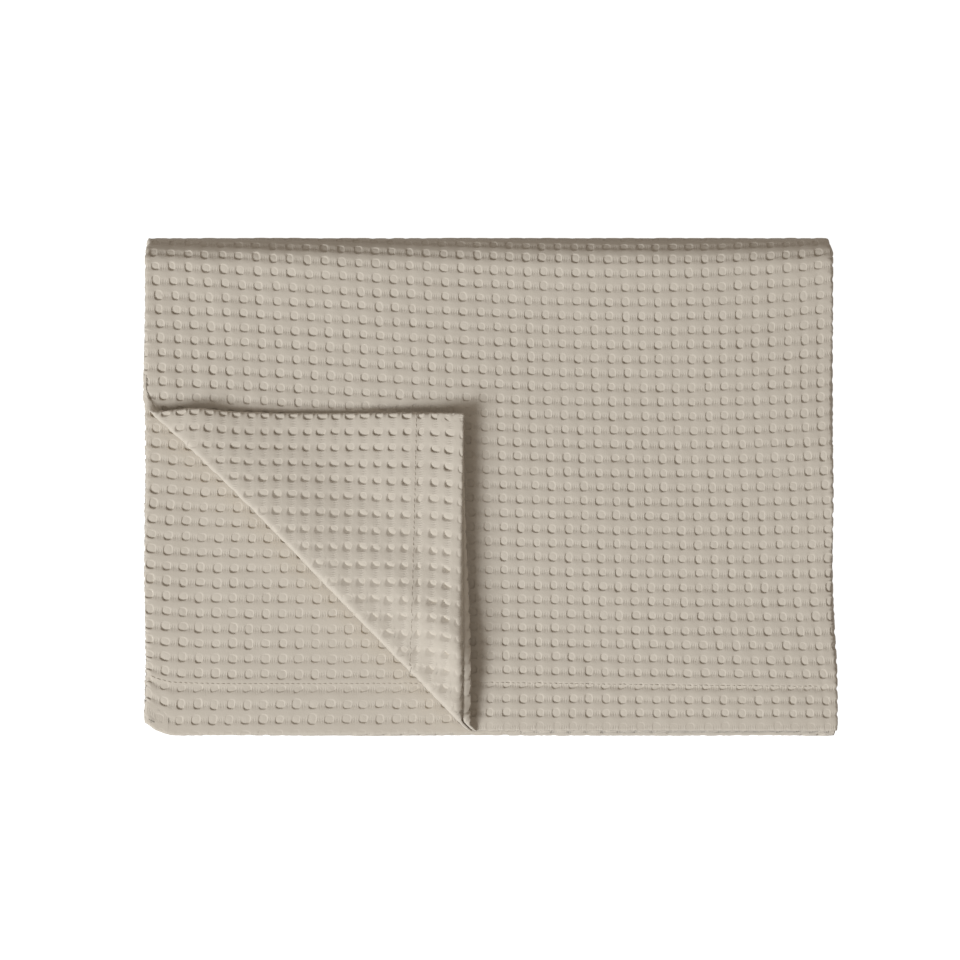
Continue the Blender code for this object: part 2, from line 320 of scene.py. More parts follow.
# Slow unevenness of the pile, in metres and in shares of its height
uneven = {
    "flare": 0.0029,  # the right side stands out at the front
    "flareFrom": (0.10, -0.05),
    "flareReach": (0.11, 0.09),
    "flareBase": 0.3,
    "wander": 0.0006,  # both sides run in and out
    "wanderLength": 0.021,
    "wanderTurn": 2.2,
    "wanderReach": 0.21,
    "rollEndDraw": 0.0026,  # the roll's ends are drawn in
    "rollEndReach": 0.0110,
    "rollEndFrom": 0.19,
    "rollEndWidth": 0.03,
    "frontFrom": -0.10,  # the front left corner is drawn back from here on
    "frontReach": 0.05,
    "swell": 0.0004,
    "swellLength": (0.043, 0.051),
    "swellShift": 0.8,
    "slantLength": 0.029,
    "slantShare": 0.6,
    "liftFrom": 0.7,  # the upper layers alone rise and fall
}


def sideShift(x, y, z):
    flare = uneven["flare"] * ease(mix(uneven["flareBase"], 1.0, z / topHeight))
    flare = flare * ease((x - uneven["flareFrom"][0]) / uneven["flareReach"][0])
    flare = flare * ease((uneven["flareFrom"][1] - y) / uneven["flareReach"][1])
    wander = uneven["wander"] * np.sin(y / uneven["wanderLength"] + uneven["wanderTurn"] * z / runPitch)
    toBack = ease((y - (pile["back"] - uneven["rollEndReach"])) / uneven["rollEndReach"])
    toSide = ease((np.abs(x) - uneven["rollEndFrom"]) / uneven["rollEndWidth"])
    draw = np.sign(x) * uneven["rollEndDraw"] * toBack * toSide
    return flare + wander * ease(np.abs(x) / uneven["wanderReach"]) - draw


def cornerShift(x, y, z):  # the lower layers' front left corner
    inFromLeft = np.maximum(x - pile["left"], corner["flat"])
    setBack = corner["slope"] * np.clip(1 - inFromLeft / corner["slopeReach"], 0.0, None)
    setBack = setBack + corner["round"] * np.clip(1 - inFromLeft / corner["roundReach"], 0.0, None) ** 2
    nearFront = ease((uneven["frontFrom"] - y) / uneven["frontReach"])
    return setBack * nearFront * (z < topHeight - 1.5 * layerPitch)


def topLift(x, y, z):
    alongX, alongY = uneven["swellLength"]
    swell = np.sin(x / alongX + uneven["swellShift"]) * np.cos(y / alongY)
    swell = swell + uneven["slantShare"] * np.sin((x + y) / uneven["slantLength"])
    lift = uneven["swell"] * swell + sum(ridgeLift(ridge, x, y) for ridge in ridges)
    lift = lift + ridgeLift(creaseTrough, x, y) * (1 - ease((z - topHeight) / layerPitch))
    return lift * ease((z / topHeight - uneven["liftFrom"]) / (1 - uneven["liftFrom"]))


def settle(x, y, z):
    return x + sideShift(x, y, z), y + cornerShift(x, y, z), z + topLift(x, y, z)


def foldedPoint(u, v, height):
    part, x, level, heading = across.at(u)
    x = x + height * np.sin(heading)
    level = level - height * np.cos(heading)
    x, level = squareFold(part, x, level)
    run, y, z, tilt = down.at(v)
    y = y - level * np.sin(tilt)
    z = z + level * np.cos(tilt)
    topRun = run == 0
    y = y + np.where(topRun, hemLead(part, x) * (1 - v / down.end("top run")), 0.0)
    turned = turnCorner(x, y, z)
    upper = topRun & np.isin(part, turnedParts)
    x, y, z = (np.where(upper, new, old) for new, old in zip(turned, (x, y, z)))
    return np.stack(settle(x, y, z), axis=-1)


# The weave: columns run down the length, rows across. Each layer has its own small skew.
# x is measured over the surface as the layer lies in the pile, and the run from its hem.
# way is +1 where u grows to the right, and the cloth's face is then underneath.
# start is the first pit row's distance from the hem; grooves are the depths along rows and columns;
# slant is how much deeper a pit's floor grows along the columns' and the rows' count;
# pull is how much a pit differs from the first layer's: across, down and deep.
layers = {
    "first": {"from": foldRight, "level": 1.5, "way": -1, "pit": 0.2163, "columnPitch": 0.01084,
              "start": 0.0024, "rowPitch": 0.00932, "grooves": (0.00085, 0.00024),
              "slant": (-0.15, -0.35), "pull": (1.0, 1.0, 1.0)},
    "second": {"from": foldLeft, "level": 0.5, "way": 1, "pit": -0.2244, "columnPitch": 0.01092,
               "start": 0.0, "rowPitch": 0.00942, "grooves": (0.00040, 0.00066),
               "slant": (0.38, 0.20), "pull": (1.0, 1.0, 1.25)},
    "third": {"from": foldRight, "level": -0.5, "way": -1, "pit": -0.1817, "columnPitch": 0.01086,
              "start": 0.0, "rowPitch": 0.00976, "grooves": (0.00065, 0.00005),
              "slant": (0.0, -0.50), "pull": (1.15, 1.0, 0.75)},
    "fourth": {"from": freeLeft["fourth"], "level": -1.5, "way": 1, "pit": -0.2200, "columnPitch": 0.01084,
               "start": 0.0, "rowPitch": 0.00932, "grooves": (0.00080, 0.00036),
               "slant": (-0.15, -0.35), "pull": (1.0, 1.0, 1.0)},
}
acrossPath, acrossSurface = across.onSurface(half)


def flatAcross(layer, x):
    spec = layers[layer]
    start = np.interp(across.start(layer), acrossPath, acrossSurface)
    return np.interp(start + spec["way"] * (x - spec["from"]), acrossSurface, acrossPath)


def flatDown(layer, run):
    spec = layers[layer]
    path, surface = down.onSurface(spec["way"] * half - spec["level"] * layerPitch)
    return np.interp(run, surface, path)


skew = {
    "leanFront": 0.34,  # columns run right towards the front, by this for each metre right of the middle
    "leanBack": 0.055,  # and by this at the back
    "leanBackRight": -0.20,
    "leanDepth": 0.32,  # from front to back
    "leanEnd": 0.36,
    "rowsBack": 0.062,  # rows drop to the right, most at rowsPeak
    "rowsPeak": -0.10,
    "rowsBend": 1.45,
    "rowsFront": 0.02,
    "rowsDepth": 0.30,
    "hemHold": 0.05,  # the hem holds the rows level
    "sideRise": 0.0034,  # on the third layer, at its free side
    "sideReach": 0.026,
    "thirdLean": -0.035,
    "thirdEnd": 0.24,
    "hemDrift": 0.0022,  # on the turned corner, towards its hem
    "hemDriftReach": 0.030,
}


def skewed(layer, x, y):
    if layer == "first":
        run = np.clip(y, 0.0, skew["leanEnd"])
        front = skew["leanFront"] * np.clip(x, 0.0, None)
        back = skew["leanBack"] + skew["leanBackRight"] * x
        newX = x - front * run - (back - front) * run ** 2 / (2 * skew["leanDepth"])
        peak = skew["rowsPeak"]
        backDrop = skew["rowsBack"] * x - skew["rowsBend"] * ((x - peak) ** 3 + peak ** 3) / 3
        drop = mix(skew["rowsFront"] * x, backDrop, np.clip(y / skew["rowsDepth"], 0.0, 1.0))
        return newX, y - drop * ease(y / skew["hemHold"])
    if layer == "third":
        rise = skew["sideRise"] * np.exp(-(x - pile["left"]) / skew["sideReach"])
        newX = x - skew["thirdLean"] * np.clip(y, 0.0, skew["thirdEnd"])
        return newX, y + rise * ease(y / skew["hemHold"])
    if layer == "second":
        drift = skew["hemDrift"] * np.clip(1 - y / skew["hemDriftReach"], 0.0, 1.0) ** 2
        return x + drift, y
    return x, y


def aroundEdge(run, height):  # a surface that goes round the cloth's free edge to its other side
    turn = np.clip(-run / half, 0.0, math.pi)
    past = np.clip(run, 0.0, None) + np.clip(-run - math.pi * half, 0.0, None)
    return half - np.abs(height) * np.sin(turn) + past, height * np.cos(turn)


# The waffle's relief, in metres under the tops of its pillows
relief = {
    "column": 0.01084,  # a cell's sizes
    "row": 0.00932,
    "rise": 0.00020,  # pillow tops over the plain cloth
    "grooveAt": 0.44,  # shares of a cell
    "grooveWidth": 0.165,
    "grooveSteep": 3,
    "groovePit": 0.65,  # share of a groove lost beside a pit
    "pit": 0.00080,
    "pitDome": 0.00010,
    "pitAcross": 0.00225,  # half sizes of a pit's floor
    "pitDown": 0.00260,
    "footInside": 0.00030,
    "roundness": 3.2,
    "sizeChance": 0.20,
    "shapeChance": 0.22,
    "placeChance": 0.08,  # in cells
    "turnChance": 0.30,
    "turnAcross": 0.5,
    "tiltChance": 0.00022,
    "depthChance": 0.28,
    "uneven": 0.00016,
    "seamRow": 3,  # the hem is sewn along this pit row
    "seamAt": 0.65,  # in cells
    "seamWidth": 0.22,
    "seamPull": 0.00035,
    "seamFlat": 0.66,
    "seamTurn": 0.40,
    "seamDepth": 0.7,
    "hemFlat": 0.25,  # share of the relief left at the hem's edge
    "hemFlatReach": 0.009,
}
# One number for each thing that differs by chance from cell to cell
draws = {
    "uneven": 1,
    "size": 2,
    "shape": 3,
    "placeAcross": 4,
    "placeDown": 5,
    "turn": 6,
    "depth": 8,
    "tiltAcross": 9,
    "tiltDown": 10,
    "stitch": 11,
}
hashFactors = (12.9898, 78.233, 37.719, 43758.5453)  # any large numbers that are unlike each other
keyGrid = 1e4  # points of two cells that agree to this part of a cell are one
keyStride = 100000000
Ring = namedtuple("Ring", "name out depthShare")
pitRings = (
    Ring("foot", 0.0, 0.97),
    Ring("rim", 0.00024, 0.13),
    Ring("shoulder", 0.00070, 0.0),
)


def chance(i, j, draw):  # an even number from 0 to 1 for each cell and draw
    forI, forJ, forDraw, large = hashFactors
    value = np.sin(i * forI + j * forJ + draw * forDraw) * large
    return value - np.floor(value)


def lean(i, j, draw):  # the same, from -0.5 to 0.5
    return chance(i, j, draw) - 0.5


def slowNoise(c, r, draw):  # smooth between the cells' corners, from -1 to 1
    i, j = np.floor(c), np.floor(r)
    s, t = ease(c - i), ease(r - j)
    low = mix(chance(i, j, draw), chance(i + 1, j, draw), s)
    high = mix(chance(i, j + 1, draw), chance(i + 1, j + 1, draw), s)
    return 2 * mix(low, high, t) - 1


def valley(along, beside):  # a groove through the cells' middles, less deep where it meets a pit
    aside = np.abs(along - np.floor(along) - relief["grooveAt"]) / relief["grooveWidth"]
    groove = np.exp(-aside ** relief["grooveSteep"])
    return groove * (1 - relief["groovePit"] * (1 - np.cos(2 * math.pi * beside)) / 2)


def pillows(layer, c, r):  # the surface between the pits, and how much of it is groove
    rowGroove, columnGroove = valley(r, c), valley(c, r)
    rowDeep, columnDeep = layers[layer]["grooves"]
    noise = relief["uneven"] * slowNoise(c, r, draws["uneven"])
    return noise - rowDeep * rowGroove - columnDeep * columnGroove, rowGroove


def seamDip(layer, r):  # the stitches draw the hem in
    past = r - relief["seamRow"] - relief["seamAt"] + layers[layer]["start"] / layers[layer]["rowPitch"]
    return relief["seamPull"] * np.exp(-(past / relief["seamWidth"]) ** 2)


def cellPattern(sides, rings):  # one cell's points and faces, a grid for the pit and rings round it
    acrossLine, downLine = (np.linspace(-1, 1, count + 1) for count in sides)
    q, p = (a.ravel() for a in np.meshgrid(downLine, acrossLine, indexing="ij"))
    grid = np.arange(p.size).reshape(sides[1] + 1, sides[0] + 1)
    faces = [np.stack([grid[:-1, :-1], grid[:-1, 1:], grid[1:, 1:], grid[1:, :-1]], -1).reshape(-1, 4)]
    inner = np.concatenate([grid[0, :-1], grid[:-1, -1], grid[-1, :0:-1], grid[:0:-1, 0]])
    edgeP, edgeQ = p[inner], q[inner]
    ring = np.zeros(p.size, int)
    for level in range(1, rings + 1):
        outer = p.size + np.arange(edgeP.size)
        p, q = np.concatenate([p, edgeP]), np.concatenate([q, edgeQ])
        ring = np.concatenate([ring, np.full(edgeP.size, level)])
        faces.append(np.stack([inner, outer, np.roll(outer, -1), np.roll(inner, -1)], -1))
        inner = outer
    return p, q, ring, np.concatenate(faces)


def pitPlaces(layer, i, j, p, q, wall, seam):  # where a pit's floor and walls lie, from the cell's middle
    power = relief["roundness"]
    reach = np.maximum(np.abs(p), np.abs(q))
    rounded = reach / np.maximum((np.abs(p) ** power + np.abs(q) ** power) ** (1 / power), tiny)
    grow = np.array([-relief["footInside"], *(row.out for row in pitRings)])[wall]
    size = 1 + relief["sizeChance"] * lean(i, j, draws["size"])
    shape = 1 + relief["shapeChance"] * lean(i, j, draws["shape"])
    pullAcross, pullDown, _ = layers[layer]["pull"]
    c = p * rounded * (relief["pitAcross"] * size * shape * pullAcross + grow) / relief["column"]
    r = q * rounded * (relief["pitDown"] * size / shape * pullDown + grow) / relief["row"]
    r = r * mix(1.0, relief["seamFlat"], seam)
    turn = relief["turnChance"] * lean(i, j, draws["turn"]) + relief["seamTurn"] * seam
    c, r = c - turn * relief["turnAcross"] * r, r + turn * c
    c = c + relief["placeChance"] * lean(i, j, draws["placeAcross"])
    r = r + relief["placeChance"] * lean(i, j, draws["placeDown"])
    return c, r


def pitFloor(layer, i, j, p, q):  # its height
    slantAcross, slantDown = layers[layer]["slant"]
    _, _, pullDeep = layers[layer]["pull"]
    dome = relief["pitDome"] * (1 - np.maximum(np.abs(p), np.abs(q)) ** 2)
    tilt = relief["tiltChance"] * (lean(i, j, draws["tiltAcross"]) * p + lean(i, j, draws["tiltDown"]) * q)
    return dome + tilt - relief["pit"] * pullDeep * (1 + slantAcross * p + slantDown * q)


def joinCells(c, r, lift, groove, faces):  # neighbours share the points on their border
    faces = faces[None] + (np.arange(c.shape[0]) * c.shape[1])[:, None, None]
    c, r, lift, groove = (a.ravel() for a in (c, r, lift, groove))
    key = np.round(c * keyGrid).astype(np.int64) * keyStride + np.round(r * keyGrid).astype(np.int64)
    _, first, same = np.unique(key, return_index=True, return_inverse=True)
    return c[first], r[first], lift[first], groove[first], same[faces.reshape(-1, 4)]


def cells(layer, columns, rows, sides, spread, keep, depth, sewn):
    p, q, ring, faces = cellPattern(sides, len(pitRings) + spread)
    i, j = (a.ravel() for a in np.meshgrid(np.arange(*columns), np.arange(*rows), indexing="ij"))
    kept = keep(i + 0.5, j + 0.5)
    i, j = i[kept][:, None].astype(float), j[kept][:, None].astype(float)
    seam = sewn * (j == relief["seamRow"])
    wall = np.minimum(ring, len(pitRings))
    pitC, pitR = pitPlaces(layer, i, j, p, q, wall, seam)
    outward = np.clip((ring - len(pitRings)) / spread, 0.0, 1.0)
    c = i + 0.5 + mix(pitC, p / 2, outward)
    r = j + 0.5 + mix(pitR, q / 2, outward)
    around, groove = pillows(layer, c, r)
    depthHere = depth(i + 0.5, j + 0.5) * (1 + relief["depthChance"] * lean(i, j, draws["depth"]))
    depthHere = depthHere * mix(1.0, relief["seamDepth"], seam)
    share = np.array([1.0, *(row.depthShare for row in pitRings)])[wall] * depthHere
    lift = mix(around, pitFloor(layer, i, j, p, q), share)
    run = layers[layer]["start"] + layers[layer]["rowPitch"] * (r - 0.5)
    lift = lift * mix(relief["hemFlat"], 1.0, ease(run / relief["hemFlatReach"]))
    if sewn:
        lift = lift - seamDip(layer, r)
    return joinCells(c, r, lift, groove * (1 - share), faces)


def everywhere(x, run):
    return np.ones(np.shape(x), bool)


def fullDepth(x, run):
    return np.ones(np.shape(x))


def meshPiece(name, points, faces, flat, ribs, material):
    mesh = bpy.data.meshes.new(name)
    mesh.vertices.add(len(points))
    mesh.vertices.foreach_set("co", points.astype(np.float32).ravel())
    mesh.loops.add(faces.size)
    mesh.loops.foreach_set("vertex_index", faces.astype(np.int32).ravel())
    mesh.polygons.add(len(faces))
    mesh.polygons.foreach_set("loop_start", np.arange(0, faces.size, 4, dtype=np.int32))
    layer = mesh.uv_layers.new(name="flat cloth")
    layer.data.foreach_set("uv", flat[faces.ravel()].astype(np.float32).ravel())
    ribbed = mesh.attributes.new("ribs", "FLOAT", "POINT")
    ribbed.data.foreach_set("value", ribs.astype(np.float32))
    mesh.update(calc_edges=True)
    mesh.validate()
    mesh.shade_smooth()
    mesh.materials.append(material)
    piece = bpy.data.objects.new(name, mesh)
    bpy.context.scene.collection.objects.link(piece)
    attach(piece, "root")
    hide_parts("blanket")
    print(f"{name}: {2 * len(faces)} triangles")
    return piece


def placeOn(layer, c, r):  # where a place of the weave lies on its layer: x, and the run from its hem
    spec = layers[layer]
    x = spec["pit"] + spec["columnPitch"] * (c - 0.5)
    return skewed(layer, x, spec["start"] + spec["rowPitch"] * (r - 0.5))


def onCloth(layer, c, r, height, farHem=False):  # the flat place, and the height over the cloth's middle
    x, run = placeOn(layer, c, r)
    run, height = aroundEdge(run - half, height)
    v = flatDown(layer, run)
    if layer in freeLeft:
        inset, height = aroundEdge(x - freeLeft[layer] - half, height)
        x = freeLeft[layer] + inset
    return flatAcross(layer, x), down.length - v if farHem else v, height


def weave(name, layer, columns, rows, material, sides=(2, 2), spread=1, keep=everywhere, depth=fullDepth,
          farHem=False, sewn=0.0):
    def kept(c, r):
        x, run = placeOn(layer, c, r)
        return keep(x, run) & (flatDown(layer, run) < down.length - relief["row"])

    def deepAt(c, r):
        return depth(*placeOn(layer, c, r))

    c, r, lift, groove, faces = cells(layer, columns, rows, sides, spread, kept, deepAt, sewn)
    u, v, height = onCloth(layer, c, r, half + relief["rise"] + lift, farHem)
    points = foldedPoint(u, v, height)
    points[:, 2] = np.maximum(points[:, 2], pile["floorGap"])
    if (layers[layer]["way"] > 0) != farHem:
        faces = faces[:, ::-1]
    return meshPiece(name, points, faces, np.stack([u, v], -1), groove, material)


# One line of stitches along each hem, in the cloth's own colour
stitch = {
    "length": 0.0027,
    "gap": 0.0008,
    "thick": 0.00055,
    "row": 3.86,
    "stray": 0.02,  # in cells
    "sides": 6,
    "rings": 5,
    "endShare": 0.15,  # how much of the thread's section is left at a stitch's ends
    "arch": 0.00012,
}


def stitches(name, layer, columns, keep, material):
    spec = layers[layer]
    pitch = (stitch["length"] + stitch["gap"]) / spec["columnPitch"]
    start = np.arange(*columns, pitch)
    stray = stitch["stray"] * lean(np.arange(start.size), 0.0, draws["stitch"])
    row = stitch["row"] - spec["start"] / spec["rowPitch"] + stray
    kept = keep(*placeOn(layer, start, row))
    start, row = start[kept][:, None, None], row[kept][:, None, None]
    along = np.linspace(-1, 1, stitch["rings"])[None, :, None]
    turn = np.linspace(0, 2 * math.pi, stitch["sides"], endpoint=False)[None, None, :]
    radius = stitch["thick"] / 2 * np.sqrt(np.maximum(1 - along ** 2, stitch["endShare"]))
    c = start + along * stitch["length"] / 2 / spec["columnPitch"] + 0 * turn
    r = row + radius * np.cos(turn) / spec["rowPitch"] + 0 * c
    surface = half + relief["rise"] + pillows(layer, c, row + 0 * c)[0] - seamDip(layer, row)
    height = surface + radius * np.sin(turn) + stitch["arch"] * (1 - along ** 2)
    u, v, height = onCloth(layer, c.ravel(), r.ravel(), height.ravel())
    points = foldedPoint(u, v, height)
    index = np.arange(points.shape[0]).reshape(start.size, stitch["rings"], stitch["sides"])
    after = np.roll(index, -1, axis=2)
    faces = np.stack([index[:, :-1], after[:, :-1], after[:, 1:], index[:, 1:]], -1).reshape(-1, 4)
    first, last = index[:, 0], index[:, -1]  # two faces close each six-sided end
    caps = [first[:, [3, 2, 1, 0]], first[:, [5, 4, 3, 0]], last[:, [0, 1, 2, 3]], last[:, [0, 3, 4, 5]]]
    faces = np.concatenate([faces, *caps])
    if spec["way"] < 0:
        faces = faces[:, ::-1]
    return meshPiece(name, points, faces, np.stack([u, v], -1), np.zeros(len(points)), material)


# Colours are written as sRGB hex, and shaders and lights take them linear
def linear(hexColour):
    values = [int(hexColour[i:i + 2], 16) / 255 for i in (1, 3, 5)]
    return [*(v / 12.92 if v <= 0.04045 else ((v + 0.055) / 1.055) ** 2.4 for v in values), 1.0]


def addNode(tree, kind, inputs=None, **settings):
    node = tree.nodes.new(kind)
    for key, value in settings.items():
        setattr(node, key, value)
    for key, value in (inputs or {}).items():
        if isinstance(value, bpy.types.NodeSocket):
            tree.links.new(value, node.inputs[key])
        else:
            node.inputs[key].default_value = value
    return node


cotton = {
    "yarn": "#c8bfb1",
    "yarnShade": "#bdb3a4",
    "ribSpacing": 1.1,  # mm; the real yarn is about 0.45 mm apart, drawn coarse enough to show
    "ribStray": 3.5,
    "ribStrayDetail": 2.0,
    "ribStrayScale": 1.6,
    "fuzzSize": 0.8,  # mm
    "fuzzDetail": 3.0,
    "patchSize": 14.0,  # mm
    "patchDetail": 4.0,
    "mottleBase": 0.22,
    "roughness": 0.92,
    "index": 1.5,
    "shine": 0.2,
    "sheen": 0.10,
    "sheenRoughness": 0.6,
    "bump": 0.42,
    "bumpDepth": 0.0005,  # metres
    "fuzzShare": 0.50,
}
bandsPerUnit = 3.18  # of a wave texture at a scale of 1


# Undyed cotton yarn, woven: matt, finely fuzzy, a little mottled, with ribs of loose yarn between the pits
def wovenCotton():
    material = bpy.data.materials.new("woven cotton, stone")
    material.use_nodes = True
    tree = material.node_tree
    shader = tree.nodes["Principled BSDF"]
    shader.inputs["Roughness"].default_value = cotton["roughness"]
    shader.inputs["IOR"].default_value = cotton["index"]
    shader.inputs["Specular IOR Level"].default_value = cotton["shine"]
    shader.inputs["Sheen Weight"].default_value = cotton["sheen"]
    shader.inputs["Sheen Roughness"].default_value = cotton["sheenRoughness"]
    flat = addNode(tree, "ShaderNodeUVMap", uv_map="flat cloth").outputs["UV"]
    perMm = addNode(tree, "ShaderNodeVectorMath", {0: flat, "Scale": 1000.0}, operation="SCALE").outputs[0]
    bands = {"Vector": perMm, "Scale": 1 / cotton["ribSpacing"] / bandsPerUnit,
             "Distortion": cotton["ribStray"], "Detail": cotton["ribStrayDetail"],
             "Detail Scale": cotton["ribStrayScale"]}
    wave = addNode(tree, "ShaderNodeTexWave", bands, bands_direction="X").outputs["Fac"]
    ribbed = addNode(tree, "ShaderNodeAttribute", attribute_name="ribs").outputs["Fac"]
    ribs = addNode(tree, "ShaderNodeMath", {0: wave, 1: ribbed}, operation="MULTIPLY").outputs[0]
    fuzz = addNode(tree, "ShaderNodeTexNoise", {"Vector": perMm, "Scale": 1 / cotton["fuzzSize"],
                   "Detail": cotton["fuzzDetail"]}).outputs["Fac"]
    height = addNode(tree, "ShaderNodeMath", {0: fuzz, 1: cotton["fuzzShare"], 2: ribs},
                     operation="MULTIPLY_ADD").outputs[0]
    bump = addNode(tree, "ShaderNodeBump", {"Height": height, "Strength": cotton["bump"],
                   "Distance": cotton["bumpDepth"]})
    tree.links.new(bump.outputs[0], shader.inputs["Normal"])
    patch = addNode(tree, "ShaderNodeTexNoise", {"Vector": perMm, "Scale": 1 / cotton["patchSize"],
                    "Detail": cotton["patchDetail"]}).outputs["Fac"]
    mottle = addNode(tree, "ShaderNodeMath", {0: patch, 1: fuzz, 2: cotton["mottleBase"]},
                     operation="MULTIPLY_ADD").outputs[0]
    colour = addNode(tree, "ShaderNodeMix", {0: mottle, 6: linear(cotton["yarnShade"]),
                     7: linear(cotton["yarn"])}, data_type="RGBA").outputs[2]
    tree.links.new(colour, shader.inputs["Base Color"])
    return material


def roundBend(u, v):  # places on the turned corner's bend, which wide faces would cut across
    part, x, _, _ = across.at(u)
    along, out = fromCrease(x, pile["hem"] + v)
    turned = np.isin(part, turnedParts) & (v < down.end("top run"))
    return turned & (out > bendAxis(along)) & (out < bendEnd(along))


sheetBack = {
    "spacing": 0.012,
    "acrossSteps": 8,  # round each fold
    "downSteps": 12,
    "inset": 0.0011,  # from the cloth's free edges
    "face": -0.00100,  # heights over the cloth's middle, on its reverse side
    "back": -0.00115,
}


def backingLines(path, foldSteps):  # lengths along a path where the sheet has a line of points
    ends = np.append(path.table[1:, 0], path.length)
    stops = [sheetBack["inset"]]
    for (start, *_, turn), end in zip(path.table, ends):
        steps = foldSteps if turn else max(2, round((end - start) / sheetBack["spacing"]))
        stops += [start + (end - start) * i / steps for i in range(1, steps + 1)]
    stops[-1] = path.length - sheetBack["inset"]
    return np.array(stops)


# Whole sheet behind the waffle: it backs every skin, and is plain where only a slit shows it
def backing(material):
    u = backingLines(across, sheetBack["acrossSteps"])
    v = backingLines(down, sheetBack["downSteps"])
    gridU, gridV = (grid.ravel() for grid in np.meshgrid(u, v, indexing="ij"))
    count = gridU.size
    index = np.arange(count).reshape(u.size, v.size)
    flat = np.stack([gridU, gridV], -1)
    faces = np.stack([index[:-1, :-1], index[1:, :-1], index[1:, 1:], index[:-1, 1:]], -1).reshape(-1, 4)
    faces = faces[~roundBend(gridU, gridV)[faces].any(axis=1)]
    start, end = faces.ravel(), np.roll(faces, -1, axis=1).ravel()
    rim = ~np.isin(start * count + end, end * count + start)
    start, end = start[rim], end[rim]
    sides = np.stack([start, start + count, end + count, end], -1)
    face = foldedPoint(gridU, gridV, np.full(count, sheetBack["face"]))
    back = foldedPoint(gridU, gridV, np.full(count, sheetBack["back"]))
    points = np.concatenate([face, back])
    points[:, 2] = np.maximum(points[:, 2], pile["floorGap"])
    faces = np.concatenate([faces[:, ::-1], faces + count, sides[:, ::-1]])
    ribs = np.zeros(2 * count)
    return meshPiece("cloth_backing", points, faces, np.concatenate([flat, flat]), ribs, material)


material = wovenCotton()
backingPiece = backing(material)

# How far the skins go on past the bend of the turned corner, and out of sight
skinReach = {
    "topOverBend": 0.014,
    "topUnderCorner": 0.020,
    "cornerBeforeBend": 0.010,
    "fineAfterBend": 0.006,
    "baredUnderBend": 0.016,
    "hemPastSide": 0.006,
}

# Shares of a pit's depth: less at the bend and the hem, more towards the left side and on the roll
pitDepth = {
    "atBend": 0.15,
    "bendBefore": 0.005,
    "bendReach": 0.008,
    "leftMore": 0.35,
    "leftReach": 0.14,
    "rollMore": 0.40,
    "rollReach": 0.012,
    "atHem": 0.45,
    "hemReach": 0.008,
}


def besideCrease(x, run):  # the top layer, up to the bend and a little way under the turned corner
    y = pile["hem"] + run
    under = skinReach["topUnderCorner"]
    along, out = fromCrease(x, y)
    axis = bendAxis(along)
    mirrorOut = 2 * axis - out + under
    mirrorX = corner["left"].x + creaseAlong.x * along + creaseOut.x * mirrorOut
    mirrorY = corner["left"].y + creaseAlong.y * along + creaseOut.y * mirrorOut
    inside = (mirrorX > pile["left"] + 2 * under) & (mirrorY > pile["hem"] + 2 * under)
    return (out < axis + skinReach["topOverBend"]) & ~(inside & (out < axis - under))


def pastCrease(x, run):  # the second layer where it is turned over
    along, out = fromCrease(x, pile["hem"] + run)
    return out > bendAxis(along) - skinReach["cornerBeforeBend"]


def cornerDepth(x, run):  # pits are pulled smooth beside the crease
    along, out = fromCrease(x, pile["hem"] + run)
    past = out - bendEnd(along) + pitDepth["bendBefore"]
    return mix(pitDepth["atBend"], 1.0, ease(past / pitDepth["bendReach"]))


def onBend(x, run):  # the cells that go round the bend are made finer
    along, out = fromCrease(x, pile["hem"] + run)
    return pastCrease(x, run) & (out < bendEnd(along) + skinReach["fineAfterBend"])


def pastBend(x, run):
    return pastCrease(x, run) & ~onBend(x, run)


def topDepth(x, run):
    toLeft = 1 - ease((x - pile["left"]) / pitDepth["leftReach"])
    onRoll = ease((run - down.end("top run")) / pitDepth["rollReach"])
    more = np.maximum(pitDepth["leftMore"] * toLeft, pitDepth["rollMore"] * onRoll)
    return mix(pitDepth["atHem"], 1.0, ease(run / pitDepth["hemReach"])) * (1 + more)


def underCorner(x, run):  # the third layer where it is bared
    along, out = fromCrease(x, pile["hem"] + run)
    return out > bendAxis(along) - skinReach["baredUnderBend"]


def hemOfCorner(x, run):
    return ~besideCrease(x, run) & (x > pile["left"] - skinReach["hemPastSide"])


def pressedFlat(x, run):
    return 0 * x


# Rows are counted from the near hem, and columns from the right in the first layer, else from the left.
# A few rows are added at an end where the skins have to overlap.
rollRow = int(down.end("top run") / relief["row"])
rollEnd = int(down.end("outer roll") / relief["row"]) + 2
baseEnd = int(down.end("lowest run") / relief["row"])
frontEnd = int(down.end("front fold") / relief["row"]) + 5
lastRow = int(down.length / relief["row"]) + 8
splitRow = 18
foldRows = (frontEnd, lastRow - 6)
freeSideEnd = lastRow - 12
hemRows = (-1, 1)
cornerRows = (-1, 25)
baredRows = (-1, 24)

leftColumn, rightColumn = -42, 3
topColumns = (leftColumn, 0)
wholeFirst, wholeSecond, wholeThird, wholeFourth = (leftColumn, rightColumn), (0, 41), (-5, 39), (-1, 42)
cornerColumns = (0, 21)
baredColumns = (-5, 19)
besideCorner = 17  # the second and third hems start here, under the turned corner's end
cornerHemEnd = -15
seams = {"first": (-22.0, 0.0), "second": (0.2, 19.0), "third": (-3.2, 15.6)}
# Faces of a pit's floor across and down, and rings of faces from the pit to its cell's border
coarse, fine, finest = ((3, 3), 1), ((4, 6), 2), ((6, 6), 4)

